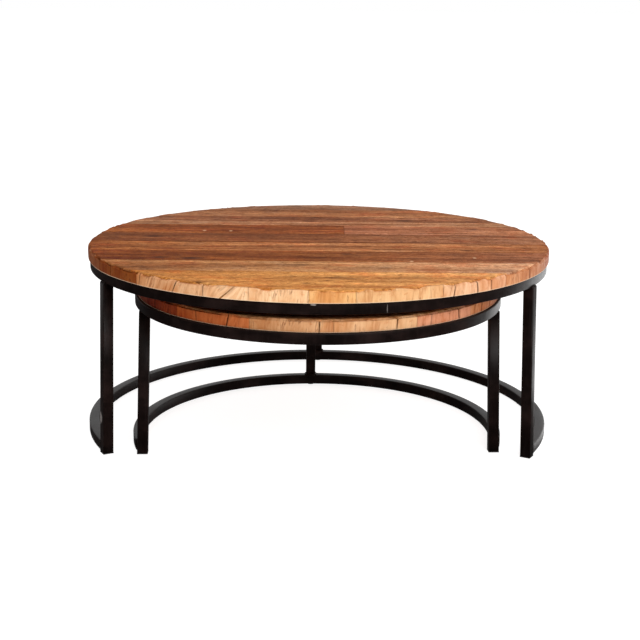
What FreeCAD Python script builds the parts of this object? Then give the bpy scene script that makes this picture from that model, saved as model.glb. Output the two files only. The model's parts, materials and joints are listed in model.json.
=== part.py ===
# Two round nesting tables: reclaimed-wood tops on frames of welded square steel tube.
# The smaller table slides in under the larger one, between its two front legs.
# Millimetres. +Z is up, the floor is z = 0, and the larger table faces -Y.
# The origin is on the floor, under the middle of the larger table's top.
import FreeCAD, Part
import os
import Sketcher
from FreeCAD import Vector

doc = FreeCAD.newDocument("nesting_tables")
sheet = doc.addObject("Spreadsheet::Sheet", "sizes")

# Each size that can be set by itself. What fits another piece is worked out below.
SIZES = {
    # steel tube, the same in both tables
    "tube_across": 20,
    "tube_wall": 1.5,
    "tube_corner": 2,
    # the wood
    "top_thickness": 23,
    "edging_thickness": 4,
    # plastic under the steel
    "glide_height": 1.5,
    "cap_depth": 10,
    "cap_clearance": 0.6,
    "pad_across": 15,
    # steel tabs that the tops are screwed down through
    "tab_length": 30,
    "tab_width": 30,
    "tab_thickness": 3,
    "tab_screw_inset": 15,
    "screw_across": 4,
    "screw_length": 18,
    "screw_head_across": 8,
    "screw_head_height": 2.5,
    "screw_tab_clearance": 0.25,
    "screw_wood_clearance": 0.05,
    # larger table
    "outer_top_radius": 450,
    "outer_height": 370,
    "outer_ring_inset": 4,
    "outer_base_flare": 11.5,
    "outer_leg_angle": 61.6,
    "outer_leg_top_proud": 4,
    "outer_leg_foot_proud": 2,
    # smaller table, and how it stands under the larger one
    "inner_top_inset": 4,
    "inner_base_flare": 9.5,
    "inner_leg_angle": 72.5,
    "nesting_side_gap": 25.5,
    "nesting_top_gap": 9,
    "inner_table_x": -0.5,
    "inner_table_y": -97,
    "inner_table_turn": 2.45,
}

# Sizes that follow from the ones above.
DERIVED = {
    "tube_half": "tube_across / 2",
    "tube_bore": "tube_across - 2 * tube_wall",
    "base_top": "glide_height + tube_across",
    "screw_reach": "screw_length - tab_thickness",
    "outer_ring_radius": "outer_top_radius - outer_ring_inset",
    "outer_base_radius": "outer_ring_radius + outer_base_flare",
    "outer_wood_bottom": "outer_height - top_thickness",
    "outer_ring_bottom": "outer_wood_bottom - tube_across",
    "outer_leg_top_middle": "outer_ring_radius + outer_leg_top_proud - tube_half",
    "outer_leg_foot_middle": "outer_base_radius + outer_leg_foot_proud - tube_half",
    "outer_front_lean": "outer_leg_foot_middle - outer_leg_top_middle",
    "leg_gap_half": "(outer_leg_top_middle - tube_half) * sin(outer_leg_angle)"
    " - tube_half * cos(outer_leg_angle)",
    "inner_ring_radius": "leg_gap_half - nesting_side_gap",
    "inner_top_radius": "inner_ring_radius - inner_top_inset",
    "inner_base_radius": "inner_ring_radius + inner_base_flare",
    "inner_height": "outer_ring_bottom - nesting_top_gap",
    "inner_wood_bottom": "inner_height - top_thickness",
    "inner_ring_bottom": "inner_wood_bottom - tube_across",
    "inner_leg_back": "(inner_ring_radius - tube_half) * cos(inner_leg_angle)",
    "inner_leg_top_middle": "sqrt((inner_ring_radius - tube_half)^2 - inner_leg_back^2)",
    "inner_leg_foot_middle": "sqrt((inner_base_radius - tube_half)^2 - inner_leg_back^2)",
    "inner_front_lean": "inner_leg_foot_middle - inner_leg_top_middle",
    "outer_tab_arc": "2 * asin(tab_width / 2 / (outer_ring_radius - tube_across)) / 1 deg",
    "inner_tab_arc": "2 * asin(tab_width / 2 / (inner_ring_radius - tube_across)) / 1 deg",
}

for row, (alias, value) in enumerate(SIZES.items(), start=1):
    sheet.set(f"A{row}", alias)
    sheet.set(f"B{row}", str(value))
    sheet.setAlias(f"B{row}", alias)
for row, (alias, formula) in enumerate(DERIVED.items(), start=len(SIZES) + 2):
    sheet.set(f"A{row}", alias)
    sheet.set(f"B{row}", "=" + formula)
    sheet.setAlias(f"B{row}", alias)
doc.recompute()

# Board widths from back to front, as sawn. They are eased to fill the top exactly.
BOARD_WIDTHS = {
    "outer": [74, 93, 66, 46, 99, 98, 86, 99, 92, 147],
    "inner": [82, 84, 76, 90, 82, 88, 86, 100],
}
# One row in each top is made of two lengths that meet end to end, this far right of the middle.
BUTTED_ROW = {"outer": (5, 52), "inner": (4, -64)}
# Arc of each edging strip in degrees, starting at the front left and going round to the right.
EDGING_ARCS = {
    "outer": [18, 26, 17, 10, 20, 19, 23, 22, 27, 21, 25, 24, 28, 22, 26, 32],
    "inner": [18, 28, 20, 28, 21, 27, 25, 30, 26, 31, 27, 25, 29, 25],
}
EDGING_START = {"outer": -63, "inner": -66}
# Where the tabs stand round each ring, in degrees from the front.
TAB_ANGLES = {
    "outer": [22, 78, 141, 219, 282, 338],
    "inner": [40, 140, 220, 320],
}
# Where the pads lie under each base, in degrees from the front.
PAD_ANGLES = [105, 180, 255]

GIVEN = "sizes."
nodes = []


def size(alias):
    """A value of the sheet as a number."""
    return float(sheet.get(alias))


def made(piece, label):
    """Gives a sub-part its name and keeps it for writing."""
    piece.Label = label
    nodes.append(piece)
    return piece


def table_place(table):
    """The expression for where a table stands in the pair's frame."""
    if table == "outer":
        return "placement(vector(0; 0; 0); rotation(vector(0; 0; 1); 0))"
    where = f"vector({GIVEN}inner_table_x; {GIVEN}inner_table_y; 0)"
    return f"placement({where}; rotation(vector(0; 0; 1); {GIVEN}inner_table_turn))"


def stand(piece, table, x="0", y="0", z="0", turn="0"):
    """Places a piece at x, y, z and a turn about Z in its own table's frame."""
    local = f"placement(vector({x}; {y}; {z}); rotation(vector(0; 0; 1); {turn}))"
    piece.setExpression("Placement", f"{table_place(table)} * {local}")


def plane(body, role):
    """One of a body's own origin planes."""
    for feature in body.Origin.OriginFeatures:
        if feature.Role == role:
            return feature
    raise ValueError(role)


def new_sketch(body, name, role):
    """An empty sketch on one of the body's origin planes."""
    sketch = body.newObject("Sketcher::SketchObject", name)
    sketch.AttachmentSupport = [(plane(body, role), "")]
    sketch.MapMode = "FlatFace"
    return sketch


def hold(sketch, kind, first, first_end, second, second_end, formula):
    """A distance of the sketch, bound to the sheet."""
    value = float(sheet.evalExpression(formula.replace(GIVEN, "")))
    index = sketch.addConstraint(
        Sketcher.Constraint(kind, first, first_end, second, second_end, value)
    )
    sketch.setExpression(f"Constraints[{index}]", formula)


def draw_box(sketch, left, bottom, across, height):
    """Four lines whose lower left corner and sizes are expressions."""
    x, y, w, h = (
        float(sheet.evalExpression(f.replace(GIVEN, "")))
        for f in (left, bottom, across, height)
    )
    corners = [Vector(x, y, 0), Vector(x + w, y, 0), Vector(x + w, y + h, 0), Vector(x, y + h, 0)]
    first = sketch.GeometryCount
    for i in range(4):
        sketch.addGeometry(Part.LineSegment(corners[i], corners[(i + 1) % 4]))
    for i in range(4):
        after = first + (i + 1) % 4
        sketch.addConstraint(Sketcher.Constraint("Coincident", first + i, 2, after, 1))
        kind = "Horizontal" if i % 2 == 0 else "Vertical"
        sketch.addConstraint(Sketcher.Constraint(kind, first + i))
    hold(sketch, "DistanceX", -1, 1, first, 1, left)
    hold(sketch, "DistanceY", -1, 1, first, 1, bottom)
    hold(sketch, "DistanceX", first, 1, first, 2, across)
    hold(sketch, "DistanceY", first + 1, 1, first + 1, 2, height)


# An edge this many tube widths long runs along a tube, not round its end.
LONG_EDGE = 2.5


def long_edges(shape, least):
    """Names of the outside edges of a tube: those that run along it."""
    names = []
    for i, edge in enumerate(shape.Edges, start=1):
        if edge.Length > least:
            names.append(f"Edge{i}")
    return names


def round_corners(body, feature):
    """Rounds the four outside corners of a tube, before it is hollowed."""
    doc.recompute()
    fillet = body.newObject("PartDesign::Fillet", "rounded_corners")
    fillet.Base = (feature, long_edges(feature.Shape, LONG_EDGE * size("tube_across")))
    fillet.setExpression("Radius", f"{GIVEN}tube_corner")
    doc.recompute()
    return fillet


def hollow_check(body, before, name):
    """A cut that removed nothing is an error."""
    doc.recompute()
    if body.Shape.Volume > before - 1:
        raise RuntimeError(f"{name} cut nothing")


def rolled_tube(table, name, outer_radius, bottom):
    """A ring of hollow square tube, rolled about the table's axis."""
    body = doc.addObject("PartDesign::Body", name)
    inner_radius = f"{GIVEN}{outer_radius} - {GIVEN}tube_across"
    section = new_sketch(body, "tube_section", "XZ_Plane")
    across = f"{GIVEN}tube_across"
    draw_box(section, inner_radius, f"{GIVEN}{bottom}", across, across)
    ring = body.newObject("PartDesign::Revolution", "rolled_tube")
    ring.Profile = section
    ring.ReferenceAxis = (section, ["V_Axis"])
    ring.Angle = 360
    round_corners(body, ring)
    before = body.Shape.Volume
    bore = new_sketch(body, "bore_section", "XZ_Plane")
    wall = f"{GIVEN}tube_wall"
    hole = f"{GIVEN}tube_bore"
    draw_box(bore, f"{inner_radius} + {wall}", f"{GIVEN}{bottom} + {wall}", hole, hole)
    hollow = body.newObject("PartDesign::Groove", "tube_bore")
    hollow.Profile = bore
    hollow.ReferenceAxis = (bore, ["V_Axis"])
    hollow.Angle = 360
    hollow_check(body, before, name)
    stand(body, table)
    return body


def open_front(body, table):
    """Cuts a base ring away at the front, flat against the back faces of the front legs."""
    if table == "outer":
        apex = f"{GIVEN}tube_half / sin({GIVEN}outer_leg_angle)"
        side = f"{apex} - 2 * {GIVEN}outer_base_radius / tan({GIVEN}outer_leg_angle)"
    else:
        apex = f"{GIVEN}tube_half - {GIVEN}inner_leg_back"
        side = apex
    far = f"2 * {GIVEN}{table}_base_radius"
    corners = (
        ("0", apex),
        (f"-{far}", side),
        (f"-{far}", f"-{far}"),
        (far, f"-{far}"),
        (far, side),
    )
    sketch = new_sketch(body, "open_front_outline", "XY_Plane")
    points = [
        Vector(*(float(sheet.evalExpression(way.replace(GIVEN, ""))) for way in corner))
        for corner in corners
    ]
    count = len(points)
    for i in range(count):
        sketch.addGeometry(Part.LineSegment(points[i], points[(i + 1) % count]))
    for i in range(count):
        sketch.addConstraint(Sketcher.Constraint("Coincident", i, 2, (i + 1) % count, 1))
    sketch.addConstraint(Sketcher.Constraint("PointOnObject", 0, 1, -2))
    hold(sketch, "DistanceY", -1, 1, 0, 1, apex)
    for i in range(1, count):
        hold(sketch, "DistanceX", -1, 1, i, 1, corners[i][0])
        hold(sketch, "DistanceY", -1, 1, i, 1, corners[i][1])
    before = body.Shape.Volume
    cut = body.newObject("PartDesign::Pocket", "open_front")
    cut.Profile = sketch
    cut.Type = "ThroughAll"
    cut.Midplane = True
    hollow_check(body, before, body.Name)


def leg(table, name, foot, top, lean, x, y, turn):
    """A straight length of tube from foot to top, whose foot stands out by lean."""
    body = doc.addObject("PartDesign::Body", name)
    before = 0
    for kind, across in (("Pad", f"{GIVEN}tube_across"), ("Pocket", f"{GIVEN}tube_bore")):
        sketch = new_sketch(body, f"{kind}_outline", "XY_Plane")
        sketch.setExpression("AttachmentOffset.Base.z", foot)
        draw_box(sketch, f"{lean} - {across} / 2", f"-{across} / 2", across, across)
        slant = body.newObject(f"PartDesign::{kind}", f"slanting_{kind}")
        slant.Profile = sketch
        slant.UseCustomVector = True
        slant.setExpression("Direction.x", f"-({lean})")
        slant.Direction.y = 0
        slant.setExpression("Direction.z", f"{top} - {foot}")
        if kind == "Pad":
            slant.AlongSketchNormal = True
            slant.setExpression("Length", f"{top} - {foot}")
            round_corners(body, slant)
            before = body.Shape.Volume
        else:
            slant.Type = "ThroughAll"
            slant.Midplane = True
    hollow_check(body, before, name)
    stand(body, table, x, y, "0", turn)
    return body


def leg_cap(table, name, lean, x, y, turn):
    """A plastic plug in the foot of a leg, with a flange that the leg stands on."""
    body = doc.addObject("PartDesign::Body", name)
    across = f"{GIVEN}tube_across"
    plug = f"({GIVEN}tube_bore - 2 * {GIVEN}cap_clearance)"
    for part, width, start, depth in (
        ("flange", across, "0", f"{GIVEN}glide_height"),
        ("plug", plug, f"{GIVEN}glide_height", f"{GIVEN}cap_depth"),
    ):
        sketch = new_sketch(body, f"{part}_outline", "XY_Plane")
        sketch.setExpression("AttachmentOffset.Base.z", start)
        draw_box(sketch, f"{lean} - {width} / 2", f"-{width} / 2", width, width)
        pad = body.newObject("PartDesign::Pad", part)
        pad.Profile = sketch
        pad.setExpression("Length", depth)
    stand(body, table, x, y, "0", turn)
    return body


def cylinder(name, radius, height, x="0", y="0", z="0", turn="0", arc=None):
    """A cylinder, or a sector of one, whose sizes and place are expressions."""
    solid = doc.addObject("Part::Cylinder", name)
    solid.setExpression("Radius", radius)
    solid.setExpression("Height", height)
    if arc is not None:
        solid.setExpression("Angle", arc)
    place = f"placement(vector({x}; {y}; {z}); rotation(vector(0; 0; 1); {turn}))"
    solid.setExpression("Placement", place)
    return solid


def group(name, solids):
    """Several separate solids as one object."""
    together = doc.addObject("Part::Compound", name)
    together.Links = solids
    return together


def cut(name, base, tool):
    """One shape with another taken out of it."""
    result = doc.addObject("Part::Cut", name)
    result.Base = base
    result.Tool = tool
    return result


def round_pattern(name, angles, middle, radius, height, z):
    """Upright cylinders round the table's axis, at angles from the front."""
    solids = []
    for angle in angles:
        x = f"({middle}) * sin({angle})"
        y = f"-({middle}) * cos({angle})"
        solids.append(cylinder(name, radius, height, x, y, z))
    return solids


def screw_circle(table):
    """Radius of the circle that the screws stand on."""
    ring = f"{GIVEN}{table}_ring_radius - {GIVEN}tube_across"
    return f"{ring} - {GIVEN}tab_screw_inset"


def make_boards(table):
    """The top: boards side by side, sawn round, with a hole for each screw."""
    radius = f"({GIVEN}{table}_top_radius - {GIVEN}edging_thickness)"
    thick = f"{GIVEN}top_thickness"
    bottom = f"{GIVEN}{table}_wood_bottom"
    disc = cylinder(f"{table}_disc", radius, thick, z=bottom)
    bore = f"{GIVEN}screw_across / 2 + {GIVEN}screw_wood_clearance"
    reach = f"{GIVEN}screw_reach"
    spots = round_pattern(
        f"{table}_screw_bore", TAB_ANGLES[table], screw_circle(table), bore, reach, bottom
    )
    bores = group(f"{table}_screw_bores", spots)
    widths = BOARD_WIDTHS[table]
    butted, joint = BUTTED_ROW[table]
    laid = 0
    for row, width in enumerate(widths, start=1):
        back = f"{radius} * (1 - {2 * laid / sum(widths)})"
        laid += width
        depth = f"{radius} * {2 * width / sum(widths)}"
        lengths = [("", f"-{radius}", f"2 * {radius}")]
        if row == butted:
            lengths = [
                ("_left", f"-{radius}", f"{radius} + {joint}"),
                ("_right", f"{joint}", f"{radius} - {joint}"),
            ]
        for side, start, length in lengths:
            strip = doc.addObject("Part::Box", f"{table}_strip")
            strip.setExpression("Length", length)
            strip.setExpression("Width", depth)
            strip.setExpression("Height", thick)
            corner = f"vector({start}; {back} - {depth}; {bottom})"
            strip.setExpression("Placement", f"placement({corner}; rotation(vector(0; 0; 1); 0))")
            sawn = doc.addObject("Part::Common", f"{table}_sawn_board")
            sawn.Base = strip
            sawn.Tool = disc
            board = cut(f"{table}_board", sawn, bores)
            stand(board, table)
            made(board, f"{table}_board_{row:02d}{side}")


def make_edging(table):
    """Thin upright-grained strips glued round the sawn edge of the boards."""
    outside = f"{GIVEN}{table}_top_radius"
    inside = f"{outside} - {GIVEN}edging_thickness"
    bottom = f"{GIVEN}{table}_wood_bottom"
    thick = f"{GIVEN}top_thickness"
    turn = EDGING_START[table] - 90
    strips = []
    for arc in EDGING_ARCS[table]:
        strips.append(
            cylinder(f"{table}_strip", outside, thick, z=bottom, turn=str(turn), arc=str(arc))
        )
        turn += arc
    middle = cylinder(f"{table}_edging_middle", inside, thick, z=bottom)
    edging = cut(f"{table}_edging", group(f"{table}_sectors", strips), middle)
    stand(edging, table)
    made(edging, f"{table}_edging_strips")


def make_tabs_and_screws(table):
    """Steel tabs welded inside the ring, and the wood screws that hold the top to them."""
    ring = f"({GIVEN}{table}_ring_radius - {GIVEN}tube_across)"
    top = f"{GIVEN}{table}_wood_bottom"
    under = f"{top} - {GIVEN}tab_thickness"
    arc = f"{GIVEN}{table}_tab_arc"
    thick = f"{GIVEN}tab_thickness"
    sectors = []
    for angle in TAB_ANGLES[table]:
        start = f"{angle} - 90 - {arc} / 2"
        sectors.append(cylinder(f"{table}_sector", ring, thick, z=under, turn=start, arc=arc))
    reach = f"{ring} - {GIVEN}tab_length"
    middle = cylinder(f"{table}_tab_middle", reach, thick, z=under)
    plates = cut(f"{table}_plates", group(f"{table}_tab_sectors", sectors), middle)
    bore = f"{GIVEN}screw_across / 2 + {GIVEN}screw_tab_clearance"
    circle = screw_circle(table)
    angles = TAB_ANGLES[table]
    holes = round_pattern(f"{table}_tab_bore", angles, circle, bore, thick, under)
    tabs = cut(f"{table}_tabs", plates, group(f"{table}_tab_bores", holes))
    stand(tabs, table)
    made(tabs, f"{table}_fixing_tabs")
    head = f"{GIVEN}screw_head_height"
    across = f"{GIVEN}screw_head_across / 2"
    heads = round_pattern(
        f"{table}_screw_head", angles, circle, across, head, f"{under} - {head}"
    )
    long = f"{GIVEN}screw_length"
    shank = f"{GIVEN}screw_across / 2"
    shanks = round_pattern(f"{table}_screw_shank", angles, circle, shank, long, under)
    screws = []
    for top_part, stem in zip(heads, shanks):
        screw = doc.addObject("Part::Fuse", f"{table}_screw")
        screw.Base = top_part
        screw.Tool = stem
        screws.append(screw)
    together = group(f"{table}_screws", screws)
    stand(together, table)
    made(together, f"{table}_top_screws")


def make_pads(table):
    """Thin plastic pads under the base, which keep it level with the caps."""
    middle = f"{GIVEN}{table}_base_radius - {GIVEN}tube_half"
    height = f"{GIVEN}glide_height"
    across = f"{GIVEN}pad_across / 2"
    pads = round_pattern(f"{table}_pad", PAD_ANGLES, middle, across, height, "0")
    together = group(f"{table}_pads", pads)
    stand(together, table)
    made(together, f"{table}_base_pads")


def make_frame(table):
    """The welded frame: ring, open base and three legs."""
    ring = rolled_tube(table, f"{table}_ring", f"{table}_ring_radius", f"{table}_ring_bottom")
    made(ring, f"{table}_top_ring")
    base = rolled_tube(table, f"{table}_base", f"{table}_base_radius", "glide_height")
    open_front(base, table)
    made(base, f"{table}_base_arc")
    top = f"{GIVEN}{table}_ring_bottom"
    low = f"{GIVEN}glide_height"
    lean = f"{GIVEN}{table}_front_lean"
    for side, way in (("left", "-1"), ("right", "1")):
        if table == "outer":
            x = f"{way} * {GIVEN}outer_leg_top_middle * sin({GIVEN}outer_leg_angle)"
            y = f"-{GIVEN}outer_leg_top_middle * cos({GIVEN}outer_leg_angle)"
            turn = f"-90 + {way} * {GIVEN}outer_leg_angle"
        else:
            x = f"{way} * {GIVEN}inner_leg_top_middle"
            y = f"-{GIVEN}inner_leg_back"
            turn = f"90 - {way} * 90"
        front = leg(table, f"{table}_{side}_leg", low, top, lean, x, y, turn)
        made(front, f"{table}_front_leg_{side}")
        cap = leg_cap(table, f"{table}_{side}_cap", lean, x, y, turn)
        made(cap, f"{table}_leg_cap_{side}")
    back = f"{GIVEN}{table}_ring_radius - {GIVEN}tube_half"
    flare = f"{GIVEN}{table}_base_flare"
    rear = leg(table, f"{table}_back_leg", f"{GIVEN}base_top", top, flare, "0", back, "90")
    made(rear, f"{table}_rear_leg")


for table in ("outer", "inner"):
    make_boards(table)
    make_edging(table)
    make_frame(table)
    make_tabs_and_screws(table)
    make_pads(table)
doc.recompute()

for item in doc.Objects:
    if "Invalid" in item.State or "Error" in item.State:
        raise RuntimeError(f"{item.Label} ({item.Name}) is {item.State}")
for node in nodes:
    if node.Shape.isNull() or not node.Shape.isValid() or not node.Shape.Solids:
        raise RuntimeError(f"{node.Label} has no good shape")

os.makedirs("parts", exist_ok=True)
for node in nodes:
    node.Shape.exportStep(f"parts/{node.Label}.step")
    box = node.Shape.BoundBox
    print(
        f"{node.Label:26s} solids {len(node.Shape.Solids):2d}"
        f"  x {box.XMin:8.1f} {box.XMax:8.1f}  y {box.YMin:8.1f} {box.YMax:8.1f}"
        f"  z {box.ZMin:7.1f} {box.ZMax:7.1f}"
    )
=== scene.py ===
# Two round nesting tables: reclaimed-wood tops on dark square-tube frames.
import json
import math
import random

import bmesh
import bpy
from mathutils import Matrix, Vector, noise


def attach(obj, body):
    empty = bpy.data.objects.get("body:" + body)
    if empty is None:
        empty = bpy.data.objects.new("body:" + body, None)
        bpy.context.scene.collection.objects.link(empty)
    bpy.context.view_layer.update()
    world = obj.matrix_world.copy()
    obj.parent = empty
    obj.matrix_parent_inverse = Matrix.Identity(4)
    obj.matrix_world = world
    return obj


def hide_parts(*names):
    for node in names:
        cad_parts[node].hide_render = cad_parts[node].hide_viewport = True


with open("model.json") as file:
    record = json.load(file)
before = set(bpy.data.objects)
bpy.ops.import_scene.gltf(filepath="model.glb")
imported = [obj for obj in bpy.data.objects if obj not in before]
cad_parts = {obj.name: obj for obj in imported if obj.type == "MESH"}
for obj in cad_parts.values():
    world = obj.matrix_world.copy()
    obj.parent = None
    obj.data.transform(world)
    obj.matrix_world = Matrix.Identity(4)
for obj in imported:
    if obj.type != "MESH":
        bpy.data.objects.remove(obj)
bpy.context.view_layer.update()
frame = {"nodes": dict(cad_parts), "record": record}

# ---------------------------------------------------------------- camera
# It stands in front of the open side, above the tops, and looks slightly down at the pair.
# The stand is a touch out of level, as a hand-set tripod is.
camera_place = Vector((-0.0009, -2.5524, 0.8440))
look_down = math.radians(14.0)
look_right = 0.0019
out_of_level = 0.0100
ahead = Vector(
    (
        math.sin(look_right) * math.cos(look_down),
        math.cos(look_right) * math.cos(look_down),
        -math.sin(look_down),
    )
)
level = Vector((math.cos(look_right), -math.sin(look_right), 0))
upright = level.cross(ahead)
right = math.cos(out_of_level) * level + math.sin(out_of_level) * upright
up = math.cos(out_of_level) * upright - math.sin(out_of_level) * level
camera = bpy.data.objects.new("camera", bpy.data.cameras.new("camera"))
camera.data.lens = 73.81
camera.data.sensor_width = 36
turned = Matrix((right, up, -ahead)).transposed().to_4x4()
camera.matrix_world = Matrix.Translation(camera_place) @ turned
bpy.context.scene.collection.objects.link(camera)
bpy.context.scene.camera = camera

# ---------------------------------------------------------------- tops: the boards
# Reclaimed hardwood, sawn into boards of different widths, glued edge to edge and cut round.
# Each board keeps its own tone and grain, and is eased a little along its long edges.
# The smaller table stands a little forward of the larger one, and is turned a little.
INNER_TURN = math.radians(2.45)
TABLE_PLACE = {
    "outer": Matrix.Identity(4),
    "inner": Matrix.Translation((-0.0005, -0.097, 0)) @ Matrix.Rotation(INNER_TURN, 4, "Z"),
}
# Half the width of a glue line, the easing of the long edges, how far the round corner can
# break away, the spacing of the cuts across a board, and a length or angle too small to matter.
GLUE_GAP = 0.0002
EASED_EDGE = 0.0009
RIM_CHIP = 0.0042
BOARD_STEP = 0.045
HAIR = 0.00001


def own_points(table, node):
    """A CAD node's points in its own table's frame."""
    back = TABLE_PLACE[table].inverted()
    return [back @ v.co for v in frame["nodes"][node].data.vertices]


def own_box(table, node):
    """Lowest and highest corner of a CAD node in its own table's frame."""
    points = own_points(table, node)
    low = Vector([min(p[i] for p in points) for i in range(3)])
    high = Vector([max(p[i] for p in points) for i in range(3)])
    return low, high


def reach(table, node):
    """The greatest distance of a CAD node from its table's axis."""
    return max(p.xy.length for p in own_points(table, node))


def keep(bm, name, table, material, slot, *nodes, smooth=False):
    """Makes a finished piece, puts it on its table's body and hides the nodes it stands for."""
    bmesh.ops.recalc_face_normals(bm, faces=bm.faces)
    bmesh.ops.transform(bm, matrix=TABLE_PLACE[table], verts=bm.verts)
    mesh = bpy.data.meshes.new(name)
    bm.to_mesh(mesh)
    bm.free()
    for face in mesh.polygons:
        face.use_smooth = smooth
    piece = bpy.data.objects.new(name, mesh)
    bpy.context.scene.collection.objects.link(piece)
    mesh.materials.append(material)
    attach(piece, f"{table}_table")
    if nodes:
        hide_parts(*nodes)
    return piece


def linear(r, g, b):
    """A colour given as it looks on a screen, 0 to 255, as light."""
    parts = []
    for value in (r, g, b):
        value /= 255
        parts.append(value / 12.92 if value <= 0.04045 else ((value + 0.055) / 1.055) ** 2.4)
    return (*parts, 1)


class Shading:
    """A material's nodes, added one at a time and wired by their sockets."""

    def __init__(self, name):
        self.material = bpy.data.materials.new(name)
        self.material.use_nodes = True
        self.tree = self.material.node_tree
        self.surface = self.tree.nodes["Principled BSDF"]

    def wire(self, value, socket):
        """Sets a socket to a number or colour, or links it to another node's output."""
        if isinstance(value, bpy.types.NodeSocket):
            self.tree.links.new(value, socket)
        else:
            socket.default_value = value

    def add(self, kind, settings=None, **inputs):
        """A node with its settings and named inputs. Input names use _ for a space."""
        node = self.tree.nodes.new(kind)
        for key, value in (settings or {}).items():
            setattr(node, key, value)
        for key, value in inputs.items():
            self.wire(value, node.inputs[key.replace("_", " ")])
        return node

    def place(self, source, scale, shift=(0, 0, 0), turn=0):
        """Coordinates turned about Z, stretched and shifted."""
        node = self.add("ShaderNodeMapping", Vector=source, Location=shift, Scale=scale)
        node.inputs["Rotation"].default_value = (0, 0, turn)
        return node.outputs["Vector"]

    def noise(self, place, detail=4, rough=0.55, scale=1, twist=0):
        """A soft random pattern, 0 to 1."""
        node = self.add(
            "ShaderNodeTexNoise", Vector=place, Scale=scale, Detail=detail, Roughness=rough,
            Distortion=twist,
        )
        return node.outputs["Fac"]

    def spread(self, value, low, high, to_low=0.0, to_high=1.0):
        """Takes the range low..high to to_low..to_high and holds it there."""
        node = self.add("ShaderNodeMapRange")
        node.clamp = True
        for socket, number in zip(node.inputs[:5], (value, low, high, to_low, to_high)):
            self.wire(number, socket)
        return node.outputs["Result"]

    def sum(self, kind, first, second, third=None):
        """Arithmetic on two or three values."""
        node = self.add("ShaderNodeMath", {"operation": kind})
        self.wire(first, node.inputs[0])
        self.wire(second, node.inputs[1])
        if third is not None:
            self.wire(third, node.inputs[2])
        return node.outputs["Value"]

    def tint(self, amount, base, other, blend="MIX"):
        """One colour blended over another."""
        node = self.add("ShaderNodeMix", {"data_type": "RGBA", "blend_type": blend})
        self.wire(amount, node.inputs[0])
        self.wire(base, node.inputs[6])
        self.wire(other, node.inputs[7])
        return node.outputs[2]

    def stain(self, colour, pattern, bare, full, strength, other, blend="MULTIPLY"):
        """Blends a colour over another where a pattern goes from bare to full."""
        return self.tint(self.spread(pattern, bare, full, 0, strength), colour, other, blend)

    def crack(self, pattern, width):
        """Thin wandering lines, where a pattern crosses its middle."""
        gap = self.sum("ABSOLUTE", self.sum("SUBTRACT", pattern, 0.5), 0)
        return self.spread(gap, width, 0, 0, 1)

    def away_from(self, source, middle, scale):
        """The distance from a place, measured with each axis stretched by its own scale."""
        node = self.add("ShaderNodeVectorMath", {"operation": "DISTANCE"})
        self.wire(self.place(source, scale), node.inputs[0])
        node.inputs[1].default_value = [m * k for m, k in zip(middle, scale)]
        return node.outputs["Value"]

    def ramp(self, value, stops):
        """A run of colours, each (place, colour)."""
        node = self.add("ShaderNodeValToRGB", Fac=value)
        band = node.color_ramp
        while len(band.elements) < len(stops):
            band.elements.new(0.5)
        for element, (where, colour) in zip(band.elements, stops):
            element.position = where
            element.color = colour
        return node.outputs["Color"]

    def bump(self, height, strength, distance):
        """Relief from a height."""
        node = self.add("ShaderNodeBump", Height=height, Strength=strength, Distance=distance)
        return node.outputs["Normal"]


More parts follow.
